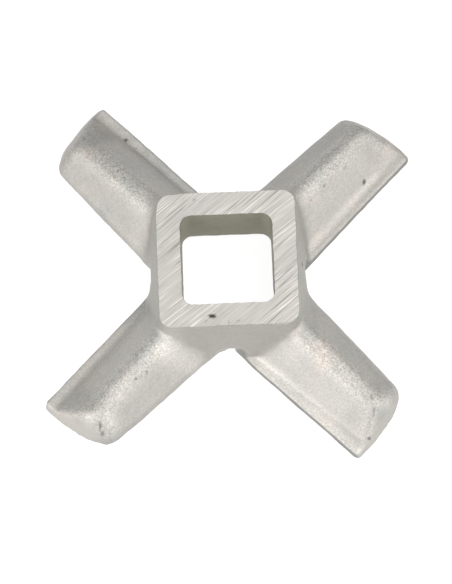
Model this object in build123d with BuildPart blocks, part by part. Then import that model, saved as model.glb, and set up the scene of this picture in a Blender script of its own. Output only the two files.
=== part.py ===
from build123d import *
from math import radians, sqrt, tan
import os

# A cross-shaped knife for a household meat grinder: one stainless casting.
# It slips over the square end of the feed screw, and its four arms sweep the hole plate.
#
# Frame: the origin is on the axis of the square bore, in the plane of the cutting faces.
# The knife lies on its cutting faces, with the boss pointing up along +Z.
# Seen from the boss it turns clockwise, so each arm leads with its clockwise side.

# ---- driving dimensions, in millimetres and degrees ----

# Boss and bore
bore_across = 10.0  # across the flats of the square bore, at the boss face
bore_corner_radius = 1.2
bore_draft = 0.9  # the bore narrows towards the cutting side
boss_across = 15.1  # across the flats of the ground face
boss_corner_radius = 1.3
boss_draft = 9.0
overall_height = 9.45
underside_height = 2.0  # the boss stops this far above the cutting faces
underside_round = 1.8  # rounding of its lower edge, seen in the gaps between the arms
recess_diameter = 15.2  # round recess in the cutting side, which clears the middle of the plate

# Arms, each one drawn along +X and then set at 45, 135, 225 and 315 degrees
arm_count = 4
first_arm_angle = 45.0
cutting_edge_offset = 5.2  # from the arm's axis to the line of its cutting edge, at the bore axis
cutting_edge_angle = 0.35  # how much that line closes towards the tip
heel_offset = 5.37  # the same for the trailing side
heel_angle = 4.7
tip_reach = 24.05  # from the bore axis to the furthest point of the tip
tip_radius = 17.5  # the tips are rounded about a point beside the arm's axis
tip_centre_offset = -3.7
tip_draft = 18.0
tip_run_out = 1.5  # whatever is trimmed at the tip starts this much longer
tip_wall = 0.3  # upright strip at the foot of the end, below the slope
tip_round = 0.8
leading_corner_radius = 0.55
trailing_corner_radius = 1.7

# Blade: the thin plate that carries the cutting edge
blade_thickness = 1.5
land_width = 4.2  # ground cutting face, measured from the cutting edge
heel_clearance = 1.1  # behind the land the underside slopes up by this much at the trailing side

# Hump: the ridge that stiffens the blade
hump_start = 4.5  # its buried end, inside the boss
root_station = 9.0  # distance from the bore axis at which the root sizes are given
tip_setback = 2.05  # and from the end of the tip, for the tip sizes
root_ledge = 0.95  # bare strip of blade in front of the hump
tip_ledge = 1.35
root_crest_height = 7.8
tip_crest_height = 4.9
crest_offset = 0.1
crest_radius = 1.5
heel_height = 2.1  # where the trailing face would meet an upright heel
heel_round = 2.3  # and the large rounding that joins them
ledge_fillet = 0.5

# Web: the concave corner between the boss and the trailing side of an arm
web_radius = 4.5  # seen from above
web_top_radius = 0.8
web_waist_height = 3.2  # the web is widest here, and tucks in towards the underside
web_top_height = 6.5
web_tuck = 0.45
underside_tuck = 0.1
web_overlap = 1.2  # how far it is sunk into the boss and the hump
web_let_in = 0.12  # its end on the hump lies this far below the hump's face, so that it fades out

hair = 0.001  # smaller than any real size

# ---- sizes that follow from these ----
boss_height = overall_height - underside_height
cutter_reach = tip_reach + tip_run_out
tip_station = tip_reach - tip_setback
station_span = tip_station - root_station
tip_centre_x = tip_reach - tip_radius
land_edge = land_width - cutting_edge_offset


def cutting_edge(x):
    """Y of the cutting edge at a distance x along the arm."""
    return -cutting_edge_offset + x * tan(radians(cutting_edge_angle))


def heel_line(x):
    """Y of the trailing side at a distance x along the arm."""
    return heel_offset - x * tan(radians(heel_angle))


def between(root_value, tip_value, x):
    """A size that changes evenly along the arm, from its root value to its tip value."""
    return root_value + (tip_value - root_value) * (x - root_station) / station_span


def foot_line(x):
    """Y of the foot of the hump's leading face, behind the ledge."""
    return cutting_edge(x) + between(root_ledge, tip_ledge, x)


def apex_height(x):
    """Where the hump's two faces would meet, above the crest that rounds them off."""
    crest_z = between(root_crest_height, tip_crest_height, x)
    lead_slope = (crest_z - blade_thickness) / (crest_offset - foot_line(x))
    return crest_z + crest_radius * (sqrt(1 + lead_slope**2) - 1)


def trailing_face(x, z):
    """Y of the hump's trailing face at x and at height z."""
    return crest_offset + (heel_line(x) - crest_offset) * (apex_height(x) - z) / (apex_height(x) - heel_height)


def hump_section(x):
    """The hump's outline across the arm at x: foot fillet, leading face, round crest, trailing face, heel."""
    foot_y = foot_line(x)
    heel_y = heel_line(x)
    with BuildSketch(Plane.YZ.offset(x)) as section:
        # in the sketch, X runs across the arm and Y runs up
        with BuildLine():
            Polyline(
                (foot_y - ledge_fillet, 0),
                (foot_y - ledge_fillet, blade_thickness),
                (foot_y, blade_thickness),
                (crest_offset, apex_height(x)),
                (heel_y, heel_height),
                (heel_y, 0),
                close=True,
            )
        make_face()
        fillet(section.vertices().sort_by(Axis.Y)[-1], crest_radius)
        fillet(section.vertices().group_by(Axis.X)[-1].sort_by(Axis.Y)[-1], heel_round)
        fillet(section.vertices().sort_by(Axis.X)[2:3], ledge_fillet)
    return section.sketch


# Outline of an arm seen from above, with its tip rounded about a point beside the arm's axis
with BuildSketch() as arm_outline:
    with BuildLine():
        Polyline(
            (0, cutting_edge(0)),
            (cutter_reach, cutting_edge(cutter_reach)),
            (cutter_reach, heel_line(cutter_reach)),
            (0, heel_line(0)),
            close=True,
        )
    make_face()
    with Locations((tip_centre_x, tip_centre_offset)):
        Circle(tip_radius, mode=Mode.INTERSECT)
    fillet(arm_outline.vertices().sort_by(Axis.X)[-1], leading_corner_radius)
    fillet(arm_outline.vertices().filter_by(lambda corner: corner.Y > 0).sort_by(Axis.X)[-1], trailing_corner_radius)

# Cone that slopes the ends of the humps back from the tips
with BuildPart() as tip_cone:
    with BuildSketch() as cone_foot:
        Circle(tip_radius + tip_wall * tan(radians(tip_draft)))
    extrude(amount=overall_height, taper=tip_draft)

# Blade: a flat plate with the outline of the arm and the same sloped end
with BuildPart() as blade:
    extrude(arm_outline.sketch, amount=blade_thickness)
    with Locations((tip_centre_x, tip_centre_offset)):
        add(tip_cone.part, mode=Mode.INTERSECT)

with BuildPart() as arm:
    # the hump, carried past both ends and then cut off by the cone at the tip
    for station in (hump_start, cutter_reach):
        add(hump_section(station))
    loft(ruled=True)
    with Locations((tip_centre_x, tip_centre_offset)):
        add(tip_cone.part, mode=Mode.INTERSECT)
    tip_edges = arm.faces().filter_by(GeomType.CONE)[0].edges()
    fillet(tip_edges.filter_by(lambda edge: edge.center().Z > blade_thickness + hair), tip_round)
    extrude(arm_outline.sketch, amount=overall_height, mode=Mode.INTERSECT)
    add(blade.part)


def web_section(z, radius, side_shift):
    """The web's outline at height z, in the arm's frame: a corner filled up to an arc that touches both its sides."""
    # there the side of the boss runs at 45 degrees to the arm
    side_distance = boss_across / 2 + (overall_height - z) * tan(radians(boss_draft)) - side_shift
    corner_y = trailing_face(root_station, z) - web_let_in
    corner = Vector(side_distance * sqrt(2) - corner_y, corner_y)
    along_boss = Vector(-1, 1).normalized()
    along_hump = Vector(1, -tan(radians(heel_angle))).normalized()
    run = radius * tan(radians(first_arm_angle - heel_angle) / 2)
    on_boss = corner + along_boss * run
    on_hump = corner + along_hump * run
    inwards = Vector(-web_overlap, -web_overlap)
    with BuildSketch(Plane.XY.offset(z)) as section:
        with BuildLine():
            TangentArc(on_hump, on_boss, tangent=-along_hump)
            Polyline(on_boss, on_boss + inwards, corner + inwards * 2, on_hump + Vector(0, -web_overlap), on_hump)
        make_face()
    return section.sketch


# Web, in the arm's own frame
with BuildPart() as web:
    add(web_section(underside_height, web_radius, web_tuck + underside_tuck))
    add(web_section(web_waist_height, web_radius, underside_tuck))
    add(web_section(web_top_height, web_top_radius, 0))
    loft(ruled=True)

# Boss: a drafted square block with a rounded lower edge
with BuildPart() as boss:
    with BuildSketch(Plane.XY.offset(overall_height)):
        RectangleRounded(boss_across, boss_across, boss_corner_radius)
    extrude(amount=-boss_height, taper=-boss_draft)
    fillet(boss.faces().sort_by(Axis.Z)[0].edges(), underside_round)

# Root of an arm, in the arm's own frame: there the boss's drafted sides run on down to the blade
with BuildPart() as root:
    with BuildSketch(Plane.XY.offset(overall_height)):
        RectangleRounded(boss_across, boss_across, boss_corner_radius, rotation=first_arm_angle)
    extrude(amount=-overall_height, taper=-boss_draft)
    extrude(arm_outline.sketch, amount=overall_height, mode=Mode.INTERSECT)

# Relief: a wedge taken off the underside behind the ground cutting face, so that only the face touches the plate
with BuildPart() as relief:
    with BuildSketch(Plane.YZ.offset(cutting_edge_offset)):
        with BuildLine():
            Polyline(
                (land_edge, 0),
                (heel_offset, 0),
                (heel_offset, heel_clearance),
                close=True,
            )
        make_face()
    extrude(amount=tip_reach)

with BuildPart() as grinder_knife:
    add(boss.part)
    with PolarLocations(0, arm_count, start_angle=first_arm_angle):
        add(arm.part)
        add(root.part)
        add(web.part)
    # square bore, narrowing towards the cutting side
    with BuildSketch(Plane.XY.offset(overall_height)):
        RectangleRounded(bore_across, bore_across, bore_corner_radius)
    extrude(amount=-overall_height, taper=bore_draft, mode=Mode.SUBTRACT)
    # round recess in the cutting side
    with BuildSketch():
        Circle(recess_diameter / 2)
    extrude(amount=underside_height, mode=Mode.SUBTRACT)
    with PolarLocations(0, arm_count, start_angle=first_arm_angle):
        add(relief.part, mode=Mode.SUBTRACT)

os.makedirs("parts", exist_ok=True)
grinder_knife.part.label = "grinder_knife"
export_step(grinder_knife.part, "parts/grinder_knife.step")
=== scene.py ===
# %% [markdown]
# # A knife for a household meat grinder
# The knife is one stainless casting. It was cast in a shell mould, blasted to an even grey,
# and then ground in two places: on top of the boss, and on the flat faces behind the four cutting edges.
# The CAD solid carries its shape and sizes. This lesson gives it a cast skin and its finishes.
# Lengths below are in millimetres where a name ends in _mm, because the details are so small.
# Blender itself counts in metres.

import bpy
import numpy as np
from mathutils import Matrix, Vector


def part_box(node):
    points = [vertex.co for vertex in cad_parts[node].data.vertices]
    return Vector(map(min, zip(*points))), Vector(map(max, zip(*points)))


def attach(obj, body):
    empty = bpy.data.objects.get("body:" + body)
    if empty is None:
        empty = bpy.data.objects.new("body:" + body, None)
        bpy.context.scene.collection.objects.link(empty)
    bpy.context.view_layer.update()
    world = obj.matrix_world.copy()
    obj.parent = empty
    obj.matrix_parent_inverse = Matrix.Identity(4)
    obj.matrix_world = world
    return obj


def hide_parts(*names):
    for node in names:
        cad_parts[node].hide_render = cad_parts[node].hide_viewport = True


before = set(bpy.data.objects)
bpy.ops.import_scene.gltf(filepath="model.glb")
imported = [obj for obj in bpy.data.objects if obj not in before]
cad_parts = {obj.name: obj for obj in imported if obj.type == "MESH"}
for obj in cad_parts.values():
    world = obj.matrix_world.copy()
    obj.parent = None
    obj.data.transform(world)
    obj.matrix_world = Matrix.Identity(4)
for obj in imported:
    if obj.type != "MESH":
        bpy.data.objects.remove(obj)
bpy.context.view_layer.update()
knife_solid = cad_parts["grinder_knife"]
mm = 0.001
box_low_mm, box_high_mm = (np.array(corner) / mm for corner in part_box("grinder_knife"))
boss_top_mm = box_high_mm[2]
print("CAD box in mm:", box_low_mm.round(2), box_high_mm.round(2))

# %% [markdown]
# ## One even skin over the solid
# A CAD mesh is made of long thin triangles with hard edges, which can't be softened or dented.
# A casting has no such edges: wherever two walls meet, the wax pattern and the blasting left them soft.
# The triangles could be subdivided by hand, but a voxel remesh is simpler. It lays a new skin of small
# even squares over the whole solid, and every later step can move its points freely.

# %% Copy the solid, merge its corners and lay the even skin
skin_spacing_mm = 0.183
same_corner_mm = 0.0005


def even_skin(solid, spacing_mm):
    """A mesh in millimetres: the solid's corners merged, then covered by squares of one size."""
    copy = bpy.data.objects.new("skin_source", solid.data.copy())
    copy.data.transform(Matrix.Scale(1 / mm, 4) @ solid.matrix_world)
    bpy.context.scene.collection.objects.link(copy)
    weld = copy.modifiers.new("merge corners", "WELD")
    weld.merge_threshold = same_corner_mm
    squares = copy.modifiers.new("even squares", "REMESH")
    squares.mode = "VOXEL"
    squares.voxel_size = spacing_mm
    graph = bpy.context.evaluated_depsgraph_get()
    skin = bpy.data.meshes.new_from_object(copy.evaluated_get(graph))
    bpy.data.objects.remove(copy)
    return skin


skin = even_skin(knife_solid, skin_spacing_mm)
print("skin:", len(skin.vertices), "points,", len(skin.polygons), "squares")

# %% [markdown]
# ## Points as whole arrays
# From here on the skin is a table of points, one row each. A step is a formula for the whole table,
# so the thousands of points are never visited one by one.

# %% Read the points, the edges between them and their outward directions
def read_rows(items, key):
    """One row of x, y, z for each item of a mesh, read in one go."""
    flat = np.empty(len(items) * 3, dtype=np.float32)
    items.foreach_get(key, flat)
    return flat.reshape(-1, 3).astype(float)


def write_points(mesh, rows):
    """Puts a table of x, y, z back into the mesh."""
    mesh.vertices.foreach_set("co", rows.astype(np.float32).ravel())
    mesh.update()


points = read_rows(skin.vertices, "co")
directions = read_rows(skin.vertex_normals, "vector")
ends = np.empty(len(skin.edges) * 2, dtype=np.int32)
skin.edges.foreach_get("vertices", ends)
ends = ends.reshape(-1, 2)
neighbours = np.bincount(ends.ravel(), minlength=len(points))
print("edges:", len(ends))

# %% [markdown]
# ## Which parts are ground and which are as cast
# Grinding leaves a true plane with a crisp rim. Everything else keeps its cast form.
# A mask is a number from 0 to 1 for each point. It says how far a later step may act there.

# %% Masks for the ground planes and the arms
def fade(value, start, end):
    """0 before start, 1 after end, and a smooth S-shaped change from one to the other."""
    t = np.clip((value - start) / (end - start), 0, 1)
    return t * t * (3 - 2 * t)


def arm_frame(rows):
    """The arm that each point belongs to, that arm's two directions, and the point's distance along each.
    The angle in plan, counted in quarter turns, gives the arm. Its own direction and the direction square to
    it then measure the point: each distance is the point's x and y times that direction, added up."""
    arm = np.floor(np.arctan2(rows[:, 1], rows[:, 0]) / (np.pi / 2)).astype(int) % 4
    angle = arm * np.pi / 2 + np.pi / 4
    ahead = np.stack([np.cos(angle), np.sin(angle)], axis=1)
    aside = np.stack([-np.sin(angle), np.cos(angle)], axis=1)
    along = (rows[:, :2] * ahead).sum(axis=1)
    across = (rows[:, :2] * aside).sum(axis=1)
    return arm, ahead, aside, along, across


plane_depth_mm, plane_facing = 0.1, 0.5
arm, ahead, aside, along_mm, across_mm = arm_frame(points)
height_mm = points[:, 2].copy()
wall_distance_mm = np.abs(points[:, :2]).max(axis=1)
on_boss_face = (height_mm > boss_top_mm - plane_depth_mm) & (directions[:, 2] > plane_facing)
on_cutting_face = (height_mm < plane_depth_mm) & (directions[:, 2] < -plane_facing)
ground = on_boss_face | on_cutting_face
print("ground points:", int(ground.sum()), "of", len(points))

# %% Mask for the front sides of the blades
# A front side stands upright under the cutting edge's own line, which closes in on the arm's middle line by
# a fraction of a degree. Beside the boss it climbs the web in a curve, and further out it ends at the ledge.
# The material paints shade on these front sides with this mask.
edge_start_mm, edge_turn = -5.2, np.radians(0.35)
edge_line_mm = edge_start_mm + along_mm * np.tan(edge_turn)
climb_start_mm, climb_height_mm, climb_bend, ledge_height_mm = 6.17, 3.91, 1.14, 1.6
side_top_mm = climb_height_mm - climb_bend * np.maximum(along_mm - climb_start_mm, 0) ** 2
faces_ahead = -(directions[:, :2] * aside).sum(axis=1)
on_front_side = (across_mm < edge_line_mm + 0.2) & (faces_ahead > 0.75) & (along_mm > climb_start_mm)
on_front_side &= height_mm < np.maximum(side_top_mm, ledge_height_mm)
print("points on the front sides:", int(on_front_side.sum()))

# %% [markdown]
# ## Softening the cast edges
# Averaging each point with its neighbours wears away an edge first, just as wax, slurry and blasting do.
# The more rounds, the larger the rounding. The ends of the ridges, their back corners and the creases
# beside the boss are the softest places on the real knife, so they get more rounds.

# %% Average the points in rounds
def soften(rows, freedom, rounds):
    """Each round moves a point half of the way to its neighbours' mean, times its freedom from 0 to 1."""
    rows = rows.copy()
    step = 0.5 * freedom[:, None]
    for _ in range(rounds):
        total = np.empty_like(rows)
        for axis in range(3):
            total[:, axis] = np.bincount(ends[:, 0], rows[ends[:, 1], axis], len(rows))
            total[:, axis] += np.bincount(ends[:, 1], rows[ends[:, 0], axis], len(rows))
        rows += (total / neighbours[:, None] - rows) * step
    return rows


cast_freedom = np.where(ground, 0.0, 1.0)
ridge_end = fade(along_mm, 15.5, 19.5) * fade(height_mm, 1.9, 3.2)
back_corner = fade(along_mm, 19.2, 21.8) * fade(across_mm, 0.8, 2.4)
outside_boss = fade(wall_distance_mm, 7.7, 8.2)
crease = outside_boss * (1 - fade(wall_distance_mm, 9.5, 11.5)) * fade(height_mm, 2.0, 3.0)
crease *= 1 - fade(height_mm, boss_top_mm - 1.6, boss_top_mm - 0.6)
# where the skin is softened and in how many rounds, in the order of the work
softenings = [
    (np.where(on_boss_face, 0.0, 1.0), 4),
    (cast_freedom * fade(height_mm, 1.2, 2.2), 4),
    (ridge_end, 30),
    (back_corner, 14),
    (crease, 40),
]
for freedom, rounds in softenings:
    points = soften(points, freedom, rounds)
print("softened", int((ridge_end > 0.5).sum()), "points at the tips")
print("softened", int((crease > 0.5).sum()), "points in the creases")

# %% [markdown]
# ## No two arms are alike
# The four arms leave the mould a little different in length and width, because each shrinks and is fettled
# on its own. The middle of an end and its back corner are moved along the arm, and each long side across it,
# by up to a third of a millimetre. Every move fades to nothing towards the boss.
# In the corners between the boss and the arms the mould had a little more room, so there the skin is
# pushed out.

# %% Let each arm's end swell or shrink a little
def bell(value, middle, reach):
    """1 in the middle, falling smoothly to 0: e to the power of minus the square of distance over reach."""
    return np.exp(-(((value - middle) / reach) ** 2))


# the arms in turn, at 45, 135, 225 and 315 degrees from X
end_growth_mm = np.array([0.13, 0.13, -0.12, -0.02])
back_corner_growth_mm = np.array([0.18, 0.27, 0.22, 0.33])
end_middle_mm, end_half_width_mm = -0.8, 4.6
middle_of_end = np.clip(1 - ((across_mm - end_middle_mm) / end_half_width_mm) ** 2, 0, 1)
middle_of_end *= fade(along_mm, 18.5, 22.5)
at_back_corner = bell(across_mm, 1.8, 1.7) * fade(along_mm, 18.0, 21.0)
end_move_mm = end_growth_mm[arm] * middle_of_end + back_corner_growth_mm[arm] * at_back_corner
points[:, :2] += ahead * end_move_mm[:, None]
print("ends moved by", end_growth_mm, "mm and back corners by", back_corner_growth_mm, "mm")

# %% Let each arm's sides swell or shrink a little
# the first row is a side's move near the boss, the second near its end, for the arms in turn
front_growth_mm = np.array([[0.06, 0.0, 0.02, 0.13], [0.03, 0.13, 0.04, 0.05]])
back_growth_mm = np.array([[-0.15, 0.02, -0.02, -0.05], [-0.12, 0.02, -0.04, -0.02]])
near_end = fade(along_mm, 8.0, 20.0)


def side_growth(growth_mm):
    """A side's own growth at each point: from the first row near the boss to the second near the end."""
    return growth_mm[0, arm] * (1 - near_end) + growth_mm[1, arm] * near_end


back_share = fade(across_mm, -2.0, 2.0)
side_move_mm = side_growth(back_growth_mm) * back_share - side_growth(front_growth_mm) * (1 - back_share)
side_move_mm *= fade(along_mm, 6.2, 8.5)
points[:, :2] += aside * side_move_mm[:, None]
print("largest move of a side:", round(float(np.abs(side_move_mm).max()), 3), "mm")

# %% Push the inner corners out
def nearness(rows, x, y, reach):
    """1 on the upright line through x and y, falling smoothly to 0: a bell over the distance in plan."""
    return np.exp(-((rows[:, 0] - x) ** 2 + (rows[:, 1] - y) ** 2) / reach**2)


# x and y of each inner corner, and how far its skin moves along x and y
inner_corners = [
    (-8.6, 2.3, -0.13, 0.0),
    (-8.5, -1.8, -0.13, 0.0),
    (8.5, 1.3, 0.1, 0.0),
    (8.4, -1.5, 0.14, 0.0),
    (-1.2, -8.5, 0.0, -0.07),
]
corner_reach_mm = 1.1
for x, y, move_x, move_y in inner_corners:
    points[:, :2] += nearness(points, x, y, corner_reach_mm)[:, None] * (move_x, move_y)
print("inner corners:", len(inner_corners))

# %% [markdown]
# ## An uneven cast surface
# No cast wall is quite flat. A slow noise, up to a few millimetres from hill to hill, pushes the skin in and
# out by a few hundredths of a millimetre. It is made from random values on a coarse grid of cells, with
# smooth blends between them, so that the same seed always gives the same casting.

# %% Push the skin in and out by a slow noise
def cell_noise(rows, cell_mm, seed):
    """Random values from -1 to 1 at the corners of cubic cells, blended by S-curves along x, y and z.
    The weight of a corner is the product, over the three axes, of how near the place is to that corner."""
    cells = 32
    table = np.random.default_rng(seed).uniform(-1, 1, (cells, cells, cells))
    place = rows / cell_mm + 2 * cells
    corner = np.floor(place).astype(int)
    part = place - corner
    part = part * part * (3 - 2 * part)
    total = np.zeros(len(rows))
    for shift in np.ndindex(2, 2, 2):
        near = np.abs(1 - np.array(shift) - part)
        cell = (corner + shift) % cells
        total += near[:, 0] * near[:, 1] * near[:, 2] * table[cell[:, 0], cell[:, 1], cell[:, 2]]
    return total


def layered_noise(rows, layers):
    """The sum of several noises, each given by its strength, the size of its cells and its seed."""
    return sum(strength * cell_noise(rows, cell_mm, seed) for strength, cell_mm, seed in layers)


write_points(skin, points)
directions = read_rows(skin.vertex_normals, "vector")
swell_mm = layered_noise(points, [(0.05, 3.1, 11), (0.03, 1.1, 12), (0.014, 0.5, 13)])
swell_mm *= cast_freedom
points += directions * swell_mm[:, None]
print("largest swell:", round(float(np.abs(swell_mm).max()), 3), "mm")

# %% [markdown]
# ## True planes again
# The grinder comes last in the workshop, so the planes are set last here too: points of the boss face and of
# the cutting faces go back to their exact height. The even skin cuts the corner of every rim by half a
# square. So the outermost points of the boss face are moved out to the rim itself, which is a square with
# rounded corners, and those around the bore to the bore's rim. A real rim is a little ragged from the belt,
# and a quick noise gives it that.

# %% Set the ground planes and draw the rims of the boss face
boss_half_mm, boss_corner_mm = 7.55, 1.3
bore_half_mm, bore_corner_mm = 5.0, 1.2
rim_depth_mm, rim_width_mm = 0.17, 0.15


def to_rounded_square(rows, half_side, corner):
    """Signed distance from a rounded square in plan, and the direction away from it.
    The square shrunk by the corner radius is a box. Past its corners the distance is the length of what
    sticks out of the box in x and y, otherwise it is the larger of the two, and the radius is taken off."""
    out = np.abs(rows[:, :2]) - (half_side - corner)
    beyond = np.maximum(out, 0)
    length = np.hypot(beyond[:, 0], beyond[:, 1])
    distance = length + np.minimum(out.max(axis=1), 0) - corner
    flat_side = np.where(out[:, :1] > out[:, 1:], (1.0, 0.0), (0.0, 1.0))
    away = np.where(length[:, None] > 0, beyond / np.maximum(length, 1e-9)[:, None], flat_side)
    return distance, away * np.sign(rows[:, :2])


points[on_boss_face, 2] = boss_top_mm
points[on_cutting_face, 2] = 0
ragged_mm = np.abs(layered_noise(points, [(0.055, 0.45, 21), (0.04, 1.3, 22)]))
on_rim = np.zeros(len(points), dtype=bool)
# the belt takes metal off the rim, so the raggedness makes the boss smaller and the bore larger
for half_side, corner, side in ((boss_half_mm, boss_corner_mm, 1), (bore_half_mm, bore_corner_mm, -1)):
    distance, away = to_rounded_square(points, half_side, corner)
    rim = (points[:, 2] > boss_top_mm - rim_depth_mm) & (np.abs(distance) < rim_width_mm)
    points[rim, :2] -= ((distance + side * ragged_mm)[:, None] * away)[rim]
    points[rim, 2] = boss_top_mm
    on_rim |= rim
print("rim points:", int(on_rim.sum()))

# %% Wear the corners of the boss
# x and y of each corner of the boss, how far it stands back, and how far around it that reaches
worn_corners = [
    (-7.2, 7.2, 0.26, 1.5),
    (7.2, 7.2, 0.05, 1.2),
    (7.2, -7.2, 0.08, 1.2),
    (-7.2, -7.2, 0.06, 1.2),
]
for x, y, setback, reach in worn_corners:
    share = nearness(points, x, y, reach) * fade(points[:, 2], boss_top_mm - 3.2, boss_top_mm - 0.6)
    points[:, :2] -= share[:, None] * setback * np.sign((x, y)) / np.sqrt(2)
print("corners of the boss:", len(worn_corners))

# %% [markdown]
# ## Where the metal is worn
# Blasting and handling act most on what sticks out. How far a point stands out from the mean of its
# neighbours tells how strongly the surface is rounded there. Averaging that number over its surroundings
# turns it into a soft mask along the ridges and the ends, which the finish uses for its sparkle.

# %% Measure the rounding
def average(values, rounds):
    """Each round replaces a number by the mean of its neighbours' numbers."""
    for _ in range(rounds):
        total = np.bincount(ends[:, 0], values[ends[:, 1]], len(values))
        total += np.bincount(ends[:, 1], values[ends[:, 0]], len(values))
        values = total / neighbours
    return values


def standing_out(rows, outward_rows):
    """Height of each point above the mean of its neighbours, along the outward direction, in millimetres."""
    mean = np.stack([average(rows[:, axis], 1) for axis in range(3)], axis=1)
    return ((rows - mean) * outward_rows).sum(axis=1)


write_points(skin, points)
directions = read_rows(skin.vertex_normals, "vector")
full_wear_mm = 0.004
smooth_rows = soften(points, np.ones(len(points)), 8)
wear = np.clip(standing_out(smooth_rows, directions) / full_wear_mm, 0, 1.2)
wear *= fade(points[:, 2], 1.9, 2.6) * fade(wall_distance_mm, 8.2, 9.2)
wear = np.clip(average(wear, 24) * 1.6, 0, 1)
print("worn points:", int((wear > 0.5).sum()))

# %% [markdown]
# ## Polish, painted highlights and painted shade
# The narrow ledge behind a cutting edge is made brighter, partly as metal rubbed bright and partly as a
# painted highlight, by its own amount on each arm. The fold above that ledge and the places where a ridge
# runs into the boss or ends get painted highlights. The slope behind the ridge and the end of the arm get
# painted shade. This could be painted by hand. Here it is one number for each point, built from its distances
# along and across its arm, which the material adds to the tone of the metal.

# %% Polish and painted light: how much brighter or darker the metal is, by place
# the arms in turn, at 45, 135, 225 and 315 degrees from X
# the ledge gain is polish and a painted highlight, the fold gain a painted highlight, the losses painted
# shade
ledge_gain = np.array([0.04, 0.16, 0.16, 0.36])
fold_gain = np.array([0.2, 0.0, 0.0, 0.1])
back_loss = np.array([0.05, 0.085, 0.115, 0.0])
end_loss = np.array([0.08, 0.18, 0.1, 0.08])
fold_line_mm, fold_reach_mm = -3.8, 0.26

past_web = fade(along_mm, 7.5, 9.5)
above_blade = fade(points[:, 2], 0.9, 1.3)
above_ledge = fade(points[:, 2], 1.9, 2.6)
polish_and_painted_light = (1 - fade(points[:, 2], 1.75, 2.3)) * above_blade * past_web
polish_and_painted_light *= (1 - fade(across_mm, -4.4, -3.6)) * ledge_gain[arm]
fold = bell(across_mm, fold_line_mm, fold_reach_mm) * (1 - fade(points[:, 2], 2.2, 2.9)) * above_blade
polish_and_painted_light += fold * past_web * (1 - fade(along_mm, 19.5, 20.5)) * fold_gain[arm]
at_end = fade(along_mm, 19.0, 21.0) * above_ledge
back_slope = (1 - at_end) * fade(across_mm, 1.2, 2.6) * fade(along_mm, 10, 12)
polish_and_painted_light -= at_end * end_loss[arm] + back_slope * back_loss[arm]
print("polish by place from", round(float(polish_and_painted_light.min()), 2), "to", round(float(polish_and_painted_light.max()), 2))

# %% Painted highlights on the ridges
# x, y, gain and reach of the painted highlights where a ridge runs into the boss, then of those where it ends
painted_highlight_places = [
    (-6.7, -8.9, 0.3, 1.6),
    (6.9, -9.1, 0.08, 1.6),
    (-8.9, 7.6, 0.14, 1.6),
    (8.9, 7.9, 0.1, 1.6),
    (-15.6, -15.9, 0.2, 0.7),
    (-13.4, -16.0, 0.26, 0.75),
    (-15.8, 14.2, 0.14, 0.8),
    (16.5, -15.1, 0.14, 0.7),
]
for x, y, gain, reach in painted_highlight_places:
    polish_and_painted_light += gain * above_ledge * nearness(points, x, y, reach)
polish_and_painted_light = average(polish_and_painted_light, 3)
print("polish from", round(float(polish_and_painted_light.min()), 2), "to", round(float(polish_and_painted_light.max()), 2))

# %% [markdown]
# ## Pits and knocks
# Gas bubbles and grit leave small round pits, and knocks leave small nicks. Each is a shallow bowl: deepest
# in the middle and flat again at its rim. Its darkness is kept with the mesh as an attribute, so that the
# finish can darken it where the bowl is.

# %% Press the pits into the skin
# x, y, length and width of each pit in millimetres, the turn of its long side in degrees, then its depth
# in millimetres and its darkness
pits = [
    (-1.85, -6.42, 1.05, 0.55, -12, 0.05, 1.5),
    (-2.55, -6.95, 0.55, 0.3, 30, 0.02, 0.35),
    (-3.35, 6.78, 0.5, 0.4, 60, 0.02, 0.45),
    (-10.65, 16.56, 0.5, 0.45, 0, 0.1, 1.1),
    (-9.6, 15.5, 0.35, 0.3, 0, 0.06, 0.6),
    (-11.56, 11.54, 0.45, 0.3, 45, 0.05, 0.5),
    (-10.9, 10.6, 0.4, 0.3, 80, 0.05, 0.45),
    (15.34, 10.48, 0.75, 0.4, 70, 0.08, 0.95),
    (9.35, 7.4, 0.42, 0.22, 15, 0.05, 0.5),
    (9.2, 6.75, 0.26, 0.2, 80, 0.03, 0.28),
    (9.32, 6.2, 0.24, 0.14, 40, 0.03, 0.3),
    (9.18, 5.35, 0.3, 0.16, 100, 0.03, 0.25),
    (13.25, 11.3, 0.6, 0.25, 55, 0.04, 0.32),
    (10.9, 9.1, 0.7, 0.28, 60, 0.05, 0.42),
    (11.6, 9.8, 0.3, 0.2, 10, 0.04, 0.35),
    (-10.35, -12.0, 0.6, 0.34, 35, 0.05, 0.6),
    (-9.15, -11.25, 0.42, 0.3, 70, 0.05, 0.5),
    (-9.8, -11.7, 0.3, 0.22, 0, 0.04, 0.35),
    (-14.4, -16.6, 1.1, 0.3, 85, 0.07, 0.75),
    (-14.2, -17.2, 0.5, 0.4, 20, 0.06, 0.6),
    (8.11, -0.04, 0.5, 0.2, 90, 0.05, 0.8),
    (15.0, -14.9, 1.0, 0.35, -75, 0.06, 0.5),
    (15.2, -16.2, 1.3, 0.35, 80, 0.06, 0.45),
    (14.6, -18.6, 0.5, 0.35, 30, 0.05, 0.8),
    (0.9, -7.1, 0.7, 0.22, 5, 0.03, 0.4),
    (-0.1, -7.15, 0.4, 0.22, 60, 0.03, 0.45),
    (-7.15, 1.5, 0.22, 0.55, 0, 0.03, 0.4),
    (7.2, -1.3, 0.2, 0.5, 10, 0.03, 0.3),
    (5.1, 4.3, 0.5, 0.2, 60, 0.03, 0.4),
]


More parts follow.
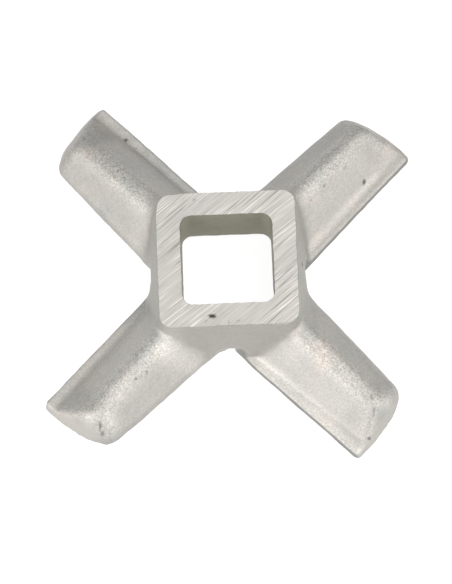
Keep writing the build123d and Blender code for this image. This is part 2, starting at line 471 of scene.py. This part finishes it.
def press_pits(rows, pit_rows):
    """Lowers z by depth times (1 - r^2)^2 inside each oval, where r is 1 on its rim.
    The darkness of a point, its second result, is the pit's own darkness times (1 - r^2)."""
    rows = rows.copy()
    darkness = np.zeros(len(rows))
    for x, y, length, width, turn_degrees, depth, dark in pit_rows:
        cosine, sine = np.cos(np.radians(turn_degrees)), np.sin(np.radians(turn_degrees))
        u = ((rows[:, 0] - x) * cosine + (rows[:, 1] - y) * sine) / (length / 2)
        v = (-(rows[:, 0] - x) * sine + (rows[:, 1] - y) * cosine) / (width / 2)
        bowl = np.clip(1 - u * u - v * v, 0, 1) * (directions[:, 2] > 0.1)
        rows[:, 2] -= depth * bowl**2
        darkness += dark * bowl
    return rows, darkness


points, pit_darkness = press_pits(points, pits)
points = np.clip(points, box_low_mm, box_high_mm)
print("pits:", len(pits))

# %% [markdown]
# ## From the table back to a piece
# The finished points go back into the mesh, in metres. Every face is shaded smooth, and only the edges along
# the ground rims stay crisp. The numbers worked out above are kept with the mesh as attributes, because
# a material can read an attribute at every point. The new piece then takes the place of the plain solid.

# %% Make the casting from the finished skin
write_points(skin, points * mm)
skin.name = "blasted_casting"
casting = bpy.data.objects.new("blasted_casting", skin)
bpy.context.scene.collection.objects.link(casting)
skin.polygons.foreach_set("use_smooth", np.ones(len(skin.polygons), dtype=bool))
skin.materials.clear()
crisp = skin.attributes.new("sharp_edge", "BOOLEAN", "EDGE")
crisp.data.foreach_set("value", on_rim[ends[:, 0]] & on_rim[ends[:, 1]])
kept_numbers = {
    "pit_darkness": np.clip(pit_darkness, 0, 1),
    "wear": wear,
    "front_side": average(on_front_side.astype(float), 1),
    "polish_and_painted_light": polish_and_painted_light,
}
for name, values in kept_numbers.items():
    attribute = skin.attributes.new(name, "FLOAT", "POINT")
    attribute.data.foreach_set("value", values.astype(np.float32))
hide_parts("grinder_knife")
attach(casting, "root")
print("triangles:", sum(len(p.vertices) - 2 for p in skin.polygons))

# %% [markdown]
# ## Shader maths as plain Python
# A material is a graph of nodes. Wiring each Math node by hand hides the idea behind the wires.
# The class below wraps a node's output, so that `1 - mask * 0.5` adds the nodes by itself.

# %% A material graph that understands arithmetic
class Value:
    """A number that changes over the surface. Arithmetic on it adds Math nodes."""

    def __init__(self, finish, socket):
        self.finish = finish
        self.socket = socket

    def __add__(self, other):
        return self.finish.maths("ADD", self, other)

    def __sub__(self, other):
        return self.finish.maths("SUBTRACT", self, other)

    def __rsub__(self, other):
        return self.finish.maths("SUBTRACT", other, self)

    def __mul__(self, other):
        return self.finish.maths("MULTIPLY", self, other)

    __radd__ = __add__
    __rmul__ = __mul__


class Finish:
    """One material and the nodes in it."""

    def __init__(self, name):
        self.material = bpy.data.materials.new(name)
        self.material.use_nodes = True
        self.tree = self.material.node_tree
        self.tree.nodes.clear()

    def node(self, kind, settings=None, output=0, **inputs):
        """Adds a node, with its settings first and then its inputs, each a value or a link.
        An input goes by its name, or by its number as in input_0. The result is the output asked for."""
        node = self.tree.nodes.new(kind)
        for key, setting in (settings or {}).items():
            setattr(node, key, setting)
        for key, value in inputs.items():
            number = key.removeprefix("input_")
            self.feed(node.inputs[int(number) if number.isdigit() else key.replace("_", " ")], value)
        return Value(self, node.outputs[output]) if len(node.outputs) else node

    def feed(self, socket, value):
        """Links a Value to a socket, or sets the plain value on it."""
        if isinstance(value, Value):
            self.tree.links.new(value.socket, socket)
        else:
            socket.default_value = value

    def maths(self, operation, first, second=0.0):
        """A Math node with this operation."""
        return self.node("ShaderNodeMath", {"operation": operation}, input_0=first, input_1=second)

    def vector(self, operation, first, second):
        """A Vector Math node with this operation, for colours and places."""
        return self.node("ShaderNodeVectorMath", {"operation": operation}, input_0=first, input_1=second)

    def split(self, place):
        """The x, y and z of a place or a direction, each as a number."""
        outputs = self.node("ShaderNodeSeparateXYZ", Vector=place).socket.node.outputs
        return [Value(self, output) for output in outputs]

    def blend(self, amount, colour_a, colour_b):
        """A Mix node for colours: colour_a where amount is 0, colour_b where it is 1.
        The node has a set of sockets for each kind of data, and its colours are numbers 6 and 7."""
        settings = {"data_type": "RGBA"}
        return self.node("ShaderNodeMix", settings, 2, input_0=amount, input_6=colour_a, input_7=colour_b)

    def fade(self, value, start, end):
        """The smooth step from 0 at start to 1 at end."""
        settings = {"interpolation_type": "SMOOTHSTEP"}
        return self.node("ShaderNodeMapRange", settings, input_0=value, input_1=start, input_2=end)

    def noise(self, place, scale, detail=2.0, roughness=0.5):
        """Smooth noise from 0 to 1 at a place in millimetres; scale counts its hills per millimetre."""
        return self.node("ShaderNodeTexNoise", Vector=place, Scale=scale, Detail=detail, Roughness=roughness)


print("finishes can be written with +, - and *")

# %% [markdown]
# ## Where each finish lies
# A finish needs to know where it is. The place in millimetres and the direction that a face looks in come
# from the object itself, and the kept numbers from the mesh. Masks are made of them in the same way as for
# the points above, but the material works them out for every spot, so their borders are much finer.

# %% Places and masks that every finish uses
steel = Finish("cast_stainless_blasted")
place_mm = steel.vector("MULTIPLY", steel.node("ShaderNodeTexCoord", output="Object"), (1000, 1000, 1000))
side_x, side_y, up_z = steel.split(place_mm)
faces_up = steel.split(steel.node("ShaderNodeTexCoord", output="Normal"))[2]


def kept_number(name):
    """The number that the mesh keeps under this name."""
    return steel.node("ShaderNodeAttribute", {"attribute_name": name}, "Fac")


wear_mask = kept_number("wear")
polish_and_painted_light_gain = kept_number("polish_and_painted_light")
pit_mask = kept_number("pit_darkness")
front_side_shade_mask = kept_number("front_side")
from_axis = steel.maths("MAXIMUM", steel.maths("ABSOLUTE", side_x), steel.maths("ABSOLUTE", side_y))
at_boss_top = steel.fade(up_z, boss_top_mm - 0.03, boss_top_mm - 0.008)
is_boss_face = at_boss_top * steel.fade(faces_up, 0.6, 0.9)
is_cutting_face = (1 - steel.fade(up_z, 0.01, 0.04)) * steel.fade(faces_up * -1, 0.6, 0.9)
is_ground = steel.maths("MAXIMUM", is_boss_face, is_cutting_face)
is_steep = (1 - steel.fade(steel.maths("ABSOLUTE", faces_up), 0.25, 0.6)) * (1 - is_ground)
is_bore = (1 - steel.fade(from_axis, bore_half_mm + 0.1, bore_half_mm + 0.5)) * is_steep
near_boss = 1 - steel.fade(from_axis, 8.6, 10.0)
print("masks: ground faces, steep walls, bore, wear and pits")

# %% [markdown]
# ## Blasted steel
# Grit blasting leaves thousands of tiny craters that scatter the light, so stainless steel turns to a satin
# grey with a fine sparkle. It is still bare metal, so the shader is fully metallic and rather rough.
# The craters could be a picture, but noise in the object's own coordinates has no seams and no stretching.
# The steep walls, the bore and the front sides of the blades get darker greys of their own. These are painted
# shade
# for faces that turn away from the light: the steep walls are darkest near the boss, and the bore's grey is
# tinted olive.

# %% The blasted colour
fine_grain_per_mm, coarse_grain_per_mm = 5.2, 1.7
fine_grain = steel.noise(place_mm, fine_grain_per_mm, 3.0, 0.7)
coarse_grain = steel.noise(place_mm, coarse_grain_per_mm, 2.0, 0.6)
clouds = steel.noise(place_mm, 0.2)
warm_clouds = steel.noise(steel.vector("ADD", place_mm, (31, 17, 5)), 0.35, 3.0, 0.6)

blasted_grey = (0.52, 0.505, 0.478, 1)
cool_grey = (0.455, 0.46, 0.442, 1)
warm_grey = (0.58, 0.53, 0.485, 1)
# painted shade: the greys of steep walls, of the bore and of the front sides of the blades
wall_shade_grey = (0.415, 0.405, 0.378, 1)
bore_shade_grey = (0.36, 0.348, 0.283, 1)
side_shade_grey = (0.27, 0.265, 0.25, 1)
blasted = steel.blend(steel.fade(clouds, 0.45, 0.7) * 0.5, blasted_grey, cool_grey)
warm_share = steel.fade(warm_clouds, 0.48, 0.72) * (wear_mask * 0.4 + 0.3)
blasted = steel.blend(warm_share, blasted, warm_grey)
# painted shade: steep walls darker, most of all near the boss, and the bore and the blades' front sides
# darker still
blasted = steel.blend(is_steep * (near_boss * 0.8 + 0.2), blasted, wall_shade_grey)
blasted = steel.blend(is_bore, blasted, bore_shade_grey)
blasted = steel.blend(front_side_shade_mask, blasted, side_shade_grey)
print("two sizes of grain:", round(1 / fine_grain_per_mm, 2), "and", round(1 / coarse_grain_per_mm, 2), "mm")

# %% The tone of the blasted metal
# the grain follows the polish and painted light: stronger where they brighten the metal, weaker where they
# darken it, and weaker on steep walls
sparkle_plain, sparkle_worn = 0.16, 0.3
mottle_plain, mottle_worn = 0.06, 0.05
grain_strength = (1 - is_steep * 0.6) * (polish_and_painted_light_gain * 2.5 + 1)
sparkle = (steel.fade(fine_grain, 0.35, 0.65) - 0.5) * (wear_mask * sparkle_worn + sparkle_plain)
mottle = (steel.fade(coarse_grain, 0.3, 0.7) - 0.5) * (wear_mask * mottle_worn + mottle_plain)
# the tone adds the polish, painted highlights and painted shade kept with the mesh
cast_tone = sparkle * grain_strength + mottle + 0.95 + wear_mask * 0.1 + polish_and_painted_light_gain
print("sparkle:", sparkle_plain, "and on worn metal", round(sparkle_plain + sparkle_worn, 2))

# %% [markdown]
# ## Ground faces
# The top of the boss was taken flat on a coarse belt, which left scratches across it in one direction.
# A scratch is long and narrow, so the noise is stretched: its place is turned to lie along the scratches
# and then counted in small steps along them and in large steps across them. Only the peaks of the noise
# become scratches, so they stand apart from each other, in bundles, as the loose grit of a belt leaves them.
# A slower noise moves the place a little first, so that no scratch is quite straight.

# %% The scratches of the belt
slow_noise = steel.node("ShaderNodeTexNoise", Vector=place_mm, Scale=0.08, output="Color")
wander_mm = steel.vector("MULTIPLY", slow_noise, (0.25, 0.25, 0))
wandering_mm = steel.vector("ADD", place_mm, wander_mm)


def scratches(angle_degrees, steps_along, steps_across, shift, detail=2.0):
    """Noise over the turned and stretched place: fine lines that run at that angle to X."""
    turned = steel.node("ShaderNodeMapping", Vector=wandering_mm, Rotation=(0, 0, -np.radians(angle_degrees)))
    stretched = steel.vector("MULTIPLY", turned, (steps_along, steps_across, 0.0))
    return steel.noise(steel.vector("ADD", stretched, (shift, shift, 0)), 1.0, detail, 0.6)


bundles = steel.fade(scratches(38, 0.10, 0.55, 17.0), 0.38, 0.62)
light_lines = steel.fade(scratches(37, 0.10, 4.6, 3.0), 0.53, 0.62)
dark_lines = steel.fade(scratches(40, 0.13, 5.0, 9.0), 0.55, 0.64)
hair_lines = scratches(38, 0.3, 8.5, 29.0, 3.0)
line_tone = light_lines * (bundles * 0.28 + 0.08) - dark_lines * (bundles * 0.4 + 0.07)
line_tone = line_tone + (hair_lines - 0.5) * 0.6 + (bundles - 0.5) * 0.04 + 1
ground_grey = (0.54, 0.52, 0.494)
print("scratches at 37 to 40 degrees")

# %% [markdown]
# ## Bringing the finishes together
# One material covers the whole casting, because it is one piece of metal. The masks choose between its
# finishes. Only the colour, the roughness and the bump change over the surface. The bump stands for the
# craters and scratches, which are a few hundredths of a millimetre deep and too fine for the mesh.

# %% Colour, roughness and bump
def all_channels(amount):
    """The same number three times, for multiplying a colour."""
    return steel.node("ShaderNodeCombineXYZ", X=amount, Y=amount, Z=amount)


pit_dark_colour = (0.09, 0.08, 0.065, 1)
cast_colour = steel.vector("MULTIPLY", blasted, all_channels(cast_tone))
ground_colour = steel.vector("MULTIPLY", ground_grey, all_channels(line_tone))
colour = steel.blend(is_ground, cast_colour, ground_colour)
colour = steel.blend(pit_mask, colour, pit_dark_colour)

relief_share_ground, bump_strength, bump_depth = 0.4, 0.55, 0.00006
cast_height = fine_grain * (wear_mask * 0.55 + 0.28) * grain_strength + coarse_grain * 0.4
ground_height = hair_lines * 0.5 + light_lines * 0.3 - dark_lines * 0.3
relief = cast_height * (1 - is_ground) + ground_height * is_ground * relief_share_ground
bump = steel.node("ShaderNodeBump", Strength=bump_strength, Distance=bump_depth, Height=relief)

cast_roughness, ground_roughness, roughness_spread = 0.70, 0.56, 0.1
rough = (1 - is_ground) * cast_roughness + is_ground * ground_roughness
rough = rough + (coarse_grain - 0.5) * roughness_spread
shader = steel.node("ShaderNodeBsdfPrincipled", Base_Color=colour, Metallic=1.0, Roughness=rough, Normal=bump)
steel.node("ShaderNodeOutputMaterial", Surface=shader)
casting.data.materials.append(steel.material)
print("nodes in the finish:", len(steel.tree.nodes))

# %% [markdown]
# ## The table
# The knife lies on a plain pale table. The table is lit like any other surface, and a share of white is added
# for the camera and for reflections, so it reads as a white sheet with a faint shadow.

# %% A white sheet
floor_mesh = bpy.data.meshes.new("table_top")
table_half = 1.5
corners = [(x * table_half, y * table_half, 0) for x, y in ((-1, -1), (1, -1), (1, 1), (-1, 1))]
floor_mesh.from_pydata(corners, [], [(0, 1, 2, 3)])
table_top = bpy.data.objects.new("table_top", floor_mesh)
bpy.context.scene.collection.objects.link(table_top)
paper = Finish("white_table")
path = paper.node("ShaderNodeLightPath").socket.node
seen = Value(paper, path.outputs["Is Camera Ray"]) + Value(paper, path.outputs["Is Glossy Ray"])
seen = paper.maths("MINIMUM", seen + Value(paper, path.outputs["Is Transmission Ray"]), 1.0)
table_grey, table_glow = (0.25, 0.25, 0.25, 1), 0.9
matt = paper.node("ShaderNodeBsdfDiffuse", Color=table_grey)
white = paper.node("ShaderNodeEmission", Color=(1, 1, 1, 1), Strength=seen * table_glow)
paper.node("ShaderNodeOutputMaterial", Surface=paper.node("ShaderNodeAddShader", input_0=matt, input_1=white))
floor_mesh.materials.append(paper.material)
print("table:", 2 * table_half, "m across")

# %% [markdown]
# ## Light
# A dull metal looks like what it reflects, so it is lit by broad soft lamps all round rather than by one
# small one. Two low ones in front brighten the slopes that face the viewer, and one high up on the right
# lights what lies flat. Weaker ones stand round the rest, so that no direction is left black, because
# a black gap shows as a dark band along a rounded ridge. The lamps in front and high up are a touch warm and
# the others a touch cool, so slopes that face different ways differ a little in colour too. The world,
# a dim and even light, fills what is left.

# %% The lamps and the world
lamp_width = 0.8


def soft_lamp(name, compass, height, power, tint):
    """A square lamp, 1 m away and turned to face the knife. Its place is a point on a sphere: the compass
    angle is counted from X towards Y, and the height angle up from the table, both in degrees."""
    light = bpy.data.lights.new(name, "AREA")
    light.shape = "SQUARE"
    light.size = lamp_width
    light.energy = power
    light.color = tint
    lamp = bpy.data.objects.new(name, light)
    bpy.context.scene.collection.objects.link(lamp)
    compass, height = np.radians(compass), np.radians(height)
    flat = np.cos(height)
    away = Vector((flat * np.cos(compass), flat * np.sin(compass), np.sin(height)))
    lamp.location = away
    lamp.rotation_mode = "QUATERNION"
    lamp.rotation_quaternion = away.to_track_quat("Z", "Y")


warm, cool = (1.0, 0.985, 0.98), (0.96, 0.995, 1.0)
# name, compass angle, height angle, power and tint of each lamp
lamps = [
    ("front_left_lamp", 225, 20, 9.9, warm),
    ("front_right_lamp", 315, 20, 6.4, warm),
    ("right_lamp", 0, 20, 1.2, cool),
    ("back_left_lamp", 135, 20, 1.7, cool),
    ("back_lamp", 90, 45, 1.2, cool),
    ("high_right_lamp", 0, 68, 6.9, warm),
    ("high_front_lamp", 240, 68, 0.9, warm),
]
for lamp_row in lamps:
    soft_lamp(*lamp_row)
world_tint, world_strength = (0.96, 0.995, 1, 1), 0.1
world = bpy.data.worlds.new("soft_room")
bpy.context.scene.world = world
world.use_nodes = True
room = world.node_tree.nodes["Background"]
room.inputs["Color"].default_value = world_tint
room.inputs["Strength"].default_value = world_strength
print("lamps:", [lamp_row[0] for lamp_row in lamps])

# %% [markdown]
# ## Camera
# A long lens far away keeps the square boss square. The camera leans 17 degrees from straight above.
# Its place is worked out the other way round, by turning the knife in front of a camera that looks straight
# down: a turn about Z, then a roll, then the tilt. The same turns backwards give the camera's own place.

# %% The camera
tilt, roll, yaw = np.radians([-16.8484, -0.6272, 2.1099])


def turn(axis, angle):
    """The 3 by 3 matrix of a turn about one axis."""
    return Matrix.Rotation(angle, 3, axis)


to_camera = turn("X", tilt) @ turn("Y", roll) @ turn("Z", yaw)
to_world = to_camera.transposed()
shift_x_mm, shift_y_mm, distance_mm = 0.2153, 1.4587, 580.026
aim_height_mm = 2.0
sensor_width_mm, focal_length_mm = 36, 327.43
camera_data = bpy.data.cameras.new("camera")
camera = bpy.data.objects.new("camera", camera_data)
bpy.context.scene.collection.objects.link(camera)

place_of_camera_mm = to_world @ Vector((-shift_x_mm, -shift_y_mm, distance_mm))
place_of_camera_mm += Vector((0, 0, aim_height_mm))
camera.matrix_world = Matrix.Translation(place_of_camera_mm * mm) @ to_world.to_4x4()
camera_data.sensor_width = sensor_width_mm
camera_data.lens = focal_length_mm
camera_data.clip_start = 0.01
camera_data.clip_end = 10
bpy.context.scene.camera = camera
print("camera at", [round(c, 3) for c in camera.location])

# %% [markdown]
# ## The view
# The Standard view shows the colours as they were set.

# %% The view
bpy.context.scene.view_settings.view_transform = "Standard"
